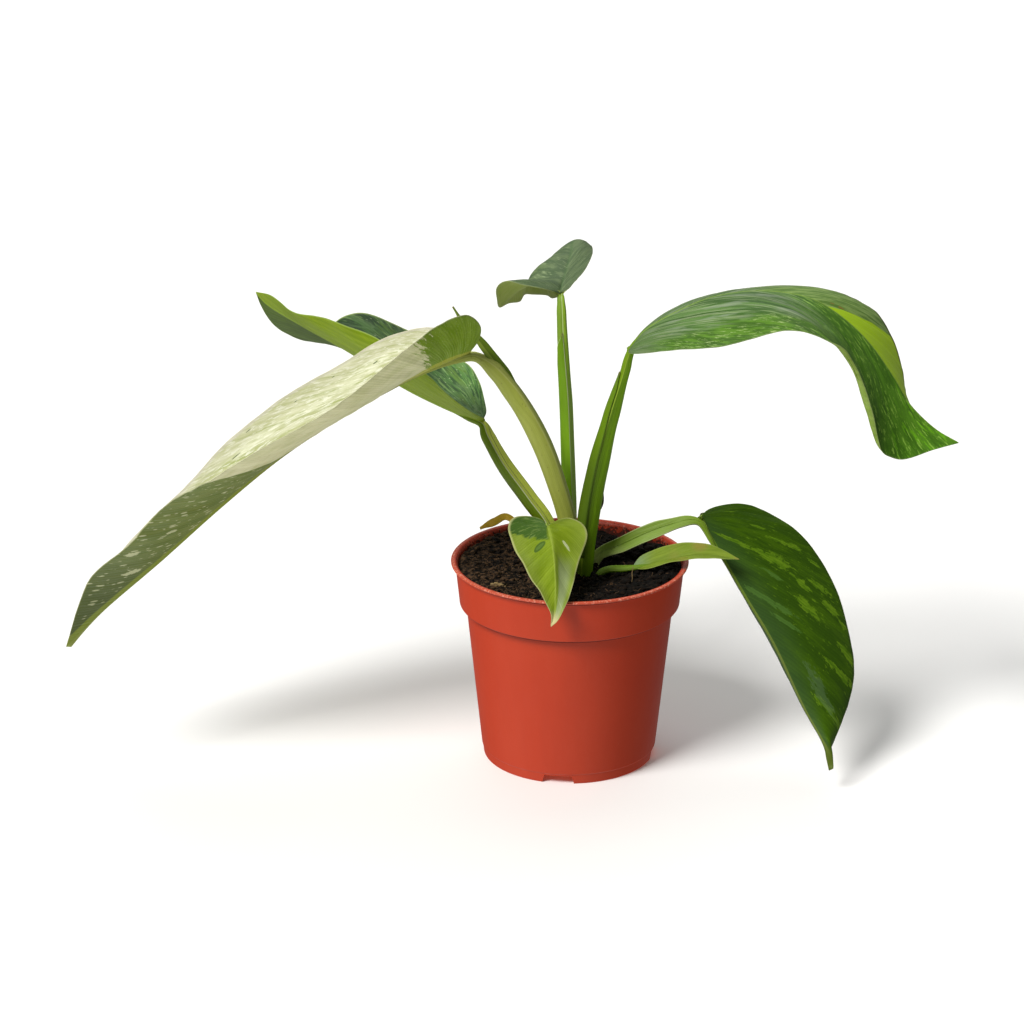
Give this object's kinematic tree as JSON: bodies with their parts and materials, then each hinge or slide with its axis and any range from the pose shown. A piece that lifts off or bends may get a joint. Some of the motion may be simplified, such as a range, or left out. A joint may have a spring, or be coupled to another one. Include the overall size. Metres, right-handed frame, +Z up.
{
  "type": "potted jose buono philodendron",
  "caption": "Young variegated philodendron with long arching leaves on sheathed stalks, growing in peat in a terracotta-coloured round nursery pot.",
  "frame": {"origin": "middle of the pot's flat underside, on the surface it stands on", "axes": "+Z up, +X to the right of the picture's view along the plant's widest spread, -Y towards the viewer"},
  "size_m": [0.3873, 0.1695, 0.2176],
  "materials": {
    "pot_plastic": "satin injection-moulded plastic",
    "peat": "rough moist peat with fibres",
    "stalk_olive": "smooth waxy",
    "stalk_green": "smooth waxy",
    "leaf_cream": "satin leaf",
    "leaf_green": "satin leaf",
    "leaf_light": "satin leaf",
    "withered_leaf": "dry and wrinkled",
    "dried_sheath": "dry and fibrous"
  },
  "bodies": {
    "root": {"pot": "pot_plastic", "soil": "peat", "petiole_a": "stalk_olive", "blade_a": "leaf_cream", "petiole_b": "stalk_green", "blade_b": "leaf_green", "petiole_c": "stalk_green", "blade_c": "leaf_green", "petiole_d": "stalk_green", "blade_d": "leaf_green", "petiole_e": "stalk_green", "blade_e": "leaf_green", "leaf_f": "leaf_light", "petiole_g": "stalk_green", "blade_g": "leaf_light", "withered_stub": "withered_leaf", "sheath_remnant": "dried_sheath"}
  },
  "joints": []
}
